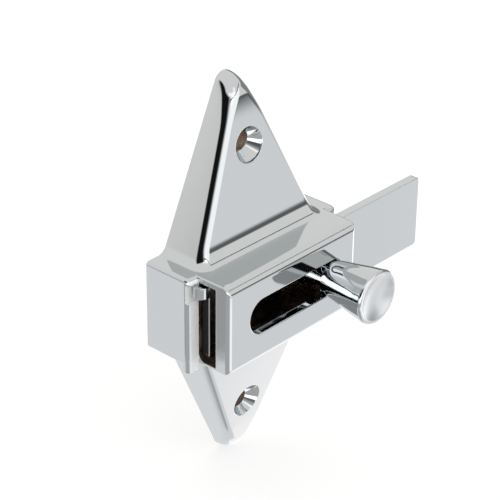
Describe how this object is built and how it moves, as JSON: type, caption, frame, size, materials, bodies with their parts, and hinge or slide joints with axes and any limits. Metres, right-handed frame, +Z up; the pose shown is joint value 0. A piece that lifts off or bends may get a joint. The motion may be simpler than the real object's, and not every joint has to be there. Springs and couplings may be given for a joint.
{
  "type": "partition slide latch",
  "caption": "Surface-mounted slide latch: a hollow chromed case with two screw ears, a flat bar that slides through it sideways, and a flared knob in a front slot.",
  "frame": {"origin": "middle of the back face, on the door's surface, halfway between the two screw holes", "axes": "+X along the bar, the way it is thrown; +Y into the door; +Z up, towards the upper ear"},
  "size_m": [0.08, 0.0366, 0.1016],
  "materials": {
    "case_chrome": "polished chrome plate on cast zinc",
    "bar_chrome": "polished chrome plate",
    "knob_chrome": "polished chrome plate with a satin dished face",
    "screw_steel": "plain zinc-plated steel",
    "spring_steel": "plain spring steel"
  },
  "bodies": {
    "case": {"case": "case_chrome", "friction_spring": "spring_steel"},
    "slide": {"slide_bar": "bar_chrome", "knob": "knob_chrome", "knob_screw": "screw_steel"}
  },
  "joints": [
    {"name": "bar_slide", "type": "slide", "parent": "case", "child": "slide", "axis": [1, 0, 0], "range_m": [-0.024, 0]}
  ]
}
